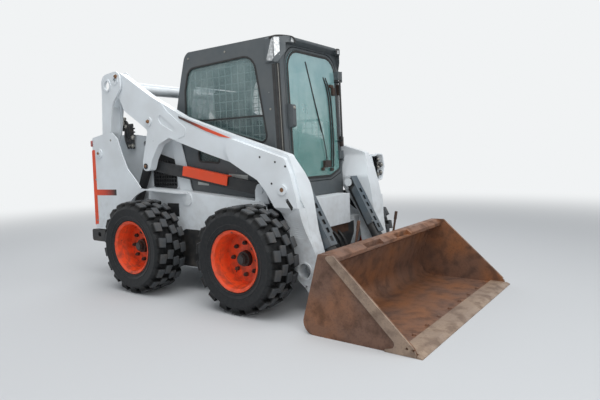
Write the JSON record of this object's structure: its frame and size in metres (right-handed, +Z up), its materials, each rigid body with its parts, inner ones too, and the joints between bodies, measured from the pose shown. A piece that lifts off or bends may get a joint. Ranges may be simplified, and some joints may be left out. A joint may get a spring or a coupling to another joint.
{
  "type": "skid steer loader",
  "caption": "Skid steer loader with closed cab, vertical-path lift arms, quick attach, general purpose bucket and lugged tyres; every pivot moves.",
  "frame": {"origin": "on the ground at the middle of the machine's length and width", "axes": "+X forward to the bucket, +Y to the machine's left, +Z up"},
  "size_m": [3.594, 1.88, 2.0651],
  "materials": {
    "white_paint": "gloss",
    "dark_paint": "satin",
    "cab_grey_paint": "satin",
    "orange_paint": "satin",
    "tyre_rubber": "matte",
    "dark_steel": "matte",
    "engine_iron": "matte",
    "red_lamp": "gloss",
    "lamp_glass": "clear",
    "window_glass": "clear",
    "seat_vinyl": "matte",
    "black_plastic": "matte",
    "bare_steel": "satin",
    "rod_chrome": "polished",
    "worn_bucket_steel": "worn"
  },
  "bodies": {
    "chassis": {"main_frame": "white_paint", "rear_towers": "white_paint", "tower_corner_strips": "orange_paint", "side_grilles": "dark_paint", "rear_bumper": "dark_paint", "axle_housings": "dark_paint", "engine_block": "engine_iron", "engine_cover": "cab_grey_paint", "tail_lamps": "red_lamp", "front_panel": "white_paint", "cab_roof": "cab_grey_paint", "cab_sides": "cab_grey_paint", "cab_rear_wall": "cab_grey_paint", "cab_front_frame": "cab_grey_paint", "cab_floor": "dark_paint", "side_window_glass": "window_glass", "side_window_screens": "dark_paint", "rear_window_glass": "window_glass", "head_lamps": "lamp_glass", "roof_visor": "dark_paint", "seat_base": "dark_paint", "seat_cushion": "seat_vinyl", "seat_backrest": "seat_vinyl", "control_levers": "black_plastic"},
    "cab_door": {"door_frame": "dark_paint", "door_glass": "window_glass", "door_grab_bar": "dark_paint"},
    "tailgate": {"tailgate": "white_paint", "tailgate_louvres": "dark_paint"},
    "rear_links": {"rear_links": "white_paint"},
    "lift_arms": {"lift_arm_left": "white_paint", "lift_arm_right": "white_paint", "arm_cross_tubes": "white_paint", "hydraulic_couplers": "bare_steel"},
    "control_links": {"control_links": "dark_paint", "arm_support": "orange_paint"},
    "lift_barrels": {"lift_barrels": "dark_paint"},
    "lift_rods": {"lift_rods": "rod_chrome"},
    "tilt_barrels": {"tilt_barrels": "dark_paint", "tilt_cylinder_guards": "dark_paint"},
    "tilt_rods": {"tilt_rods": "rod_chrome"},
    "bucket": {"quick_attach": "dark_paint", "attach_levers": "worn_bucket_steel", "bucket_shell": "worn_bucket_steel", "side_cutters": "worn_bucket_steel", "cutting_edge": "worn_bucket_steel"},
    "wheel_front_left": {"tyre_front_left": "tyre_rubber", "rim_front_left": "orange_paint", "hub_front_left": "dark_steel"},
    "wheel_front_right": {"tyre_front_right": "tyre_rubber", "rim_front_right": "orange_paint", "hub_front_right": "dark_steel"},
    "wheel_rear_left": {"tyre_rear_left": "tyre_rubber", "rim_rear_left": "orange_paint", "hub_rear_left": "dark_steel"},
    "wheel_rear_right": {"tyre_rear_right": "tyre_rubber", "rim_rear_right": "orange_paint", "hub_rear_right": "dark_steel"}
  },
  "joints": [
    {"name": "lift", "type": "hinge", "parent": "chassis", "child": "control_links", "pos_m": [0.321, 0, 0.882], "axis": [0, 1, 0], "range_deg": [0, 43.2]},
    {"name": "arm_swing", "type": "hinge", "parent": "control_links", "child": "lift_arms", "pos_m": [-0.95, 0, 1.081], "axis": [0, -1, 0], "range_deg": [0, 109.88]},
    {"name": "rear_link_swing", "type": "hinge", "parent": "chassis", "child": "rear_links", "pos_m": [-1.587, 0, 1.212], "axis": [0, -1, 0], "range_deg": [0, 3.15]},
    {"name": "lift_barrel_swing", "type": "hinge", "parent": "chassis", "child": "lift_barrels", "pos_m": [-1.297, 0, 0.64], "axis": [0, -1, 0], "range_deg": [0, 8.25]},
    {"name": "lift_rod_slide", "type": "slide", "parent": "lift_barrels", "child": "lift_rods", "axis": [0.4494, 0, 0.8934], "range_m": [0, 0.6268]},
    {"name": "bucket_tilt", "type": "hinge", "parent": "lift_arms", "child": "bucket", "pos_m": [0.803, 0, 0.195], "axis": [0, 1, 0], "range_deg": [-30, 108.5]},
    {"name": "tilt_barrel_swing", "type": "hinge", "parent": "lift_arms", "child": "tilt_barrels", "pos_m": [0.595, 0, 0.893], "axis": [0, 1, 0], "range_deg": [-2.3, 8.19]},
    {"name": "tilt_rod_slide", "type": "slide", "parent": "tilt_barrels", "child": "tilt_rods", "axis": [0.484, 0, -0.8751], "range_m": [-0.05837, 0.2098]},
    {"name": "cab_door", "type": "hinge", "parent": "chassis", "child": "cab_door", "pos_m": [0.51319, 0.376, 1.475], "axis": [0, 0, 1], "range_deg": [0, 85]},
    {"name": "tailgate", "type": "hinge", "parent": "chassis", "child": "tailgate", "pos_m": [-1.739, 0.414, 0.9], "axis": [0, 0, -1], "range_deg": [0, 90]},
    {"name": "wheel_front_left_spin", "type": "hinge", "parent": "chassis", "child": "wheel_front_left", "pos_m": [0.353, 0.758, 0.398], "axis": [0, 1, 0], "continuous": true},
    {"name": "wheel_front_right_spin", "type": "hinge", "parent": "chassis", "child": "wheel_front_right", "pos_m": [0.353, -0.758, 0.398], "axis": [0, 1, 0], "continuous": true},
    {"name": "wheel_rear_left_spin", "type": "hinge", "parent": "chassis", "child": "wheel_rear_left", "pos_m": [-0.837, 0.758, 0.398], "axis": [0, 1, 0], "continuous": true},
    {"name": "wheel_rear_right_spin", "type": "hinge", "parent": "chassis", "child": "wheel_rear_right", "pos_m": [-0.837, -0.758, 0.398], "axis": [0, 1, 0], "continuous": true}
  ],
  "couplings": [
    {"joint": "arm_swing", "follows": "lift", "ratio": 2.5424},
    {"joint": "rear_link_swing", "follows": "lift", "ratio": 0.071759},
    {"joint": "lift_barrel_swing", "follows": "lift", "ratio": 0.18982},
    {"joint": "lift_rod_slide", "follows": "lift", "m_per_rad": 0.83066},
    {"joint": "tilt_barrel_swing", "follows": "bucket_tilt", "ratio": 0.075},
    {"joint": "tilt_rod_slide", "follows": "bucket_tilt", "m_per_rad": 0.11052}
  ]
}
